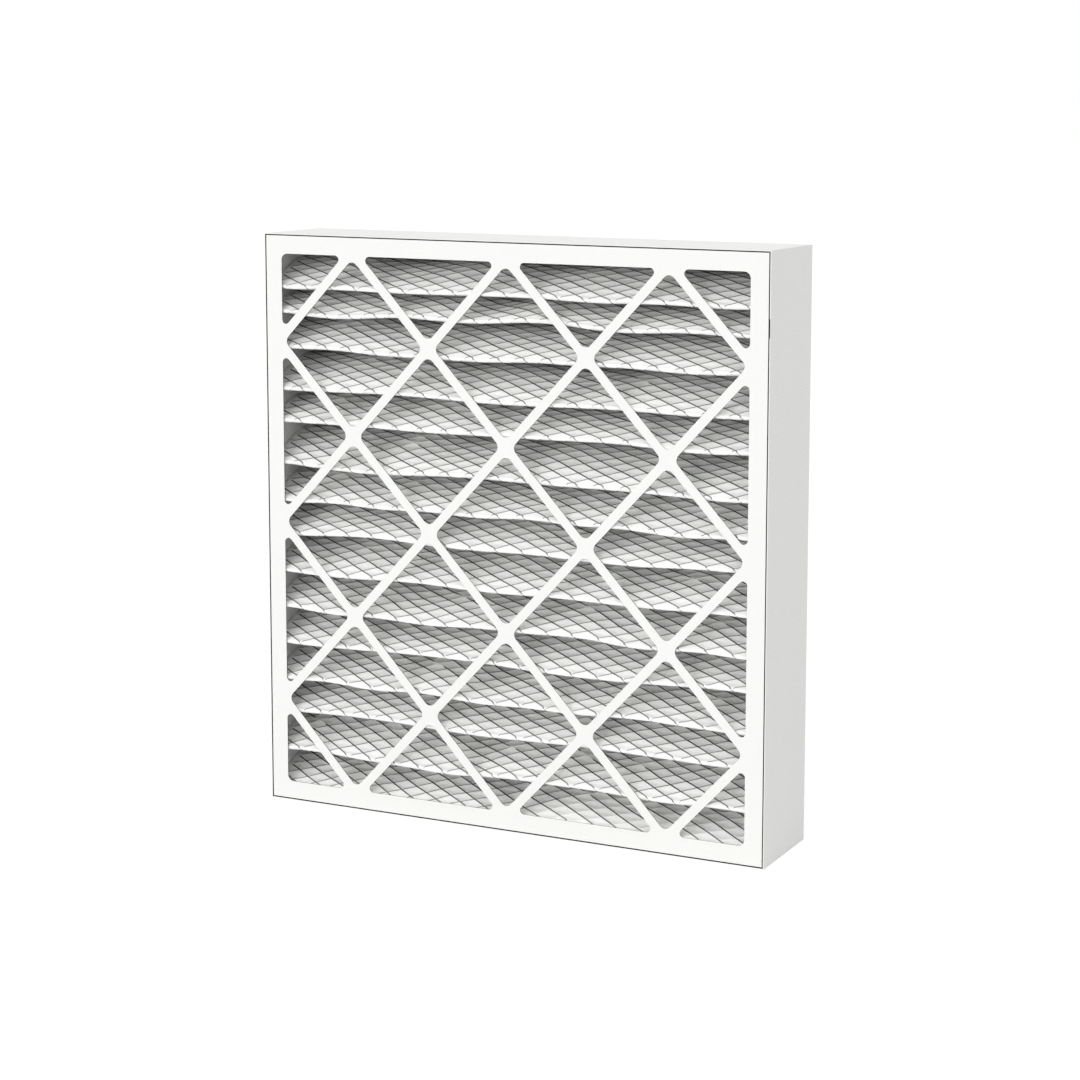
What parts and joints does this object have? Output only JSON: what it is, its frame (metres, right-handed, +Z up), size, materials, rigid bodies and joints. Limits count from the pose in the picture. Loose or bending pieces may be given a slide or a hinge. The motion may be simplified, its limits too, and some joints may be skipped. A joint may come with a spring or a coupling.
{
  "type": "hvac panel filter",
  "caption": "Rectangular pleated air filter: a white board frame with a diamond lattice on each face holds a deep pack of horizontal cloth pleats backed by expanded metal.",
  "frame": {"origin": "bottom of the filter, at the middle of its width and depth", "axes": "+Z up, the front face looks along -Y, +X to the right of someone who looks at the front face"},
  "size_m": [0.4952, 0.0952, 0.527],
  "materials": {
    "board": "matte white board",
    "cloth": "non-woven, fibrous",
    "expanded_metal": "satin",
    "adhesive": "dull"
  },
  "bodies": {
    "root": {"rear_tray": "board", "front_tray": "board", "pleated_cloth": "cloth", "wire_backing": "expanded_metal", "left_end_seal": "adhesive", "right_end_seal": "adhesive", "front_glue_lines": "adhesive", "rear_glue_lines": "adhesive"}
  },
  "joints": []
}
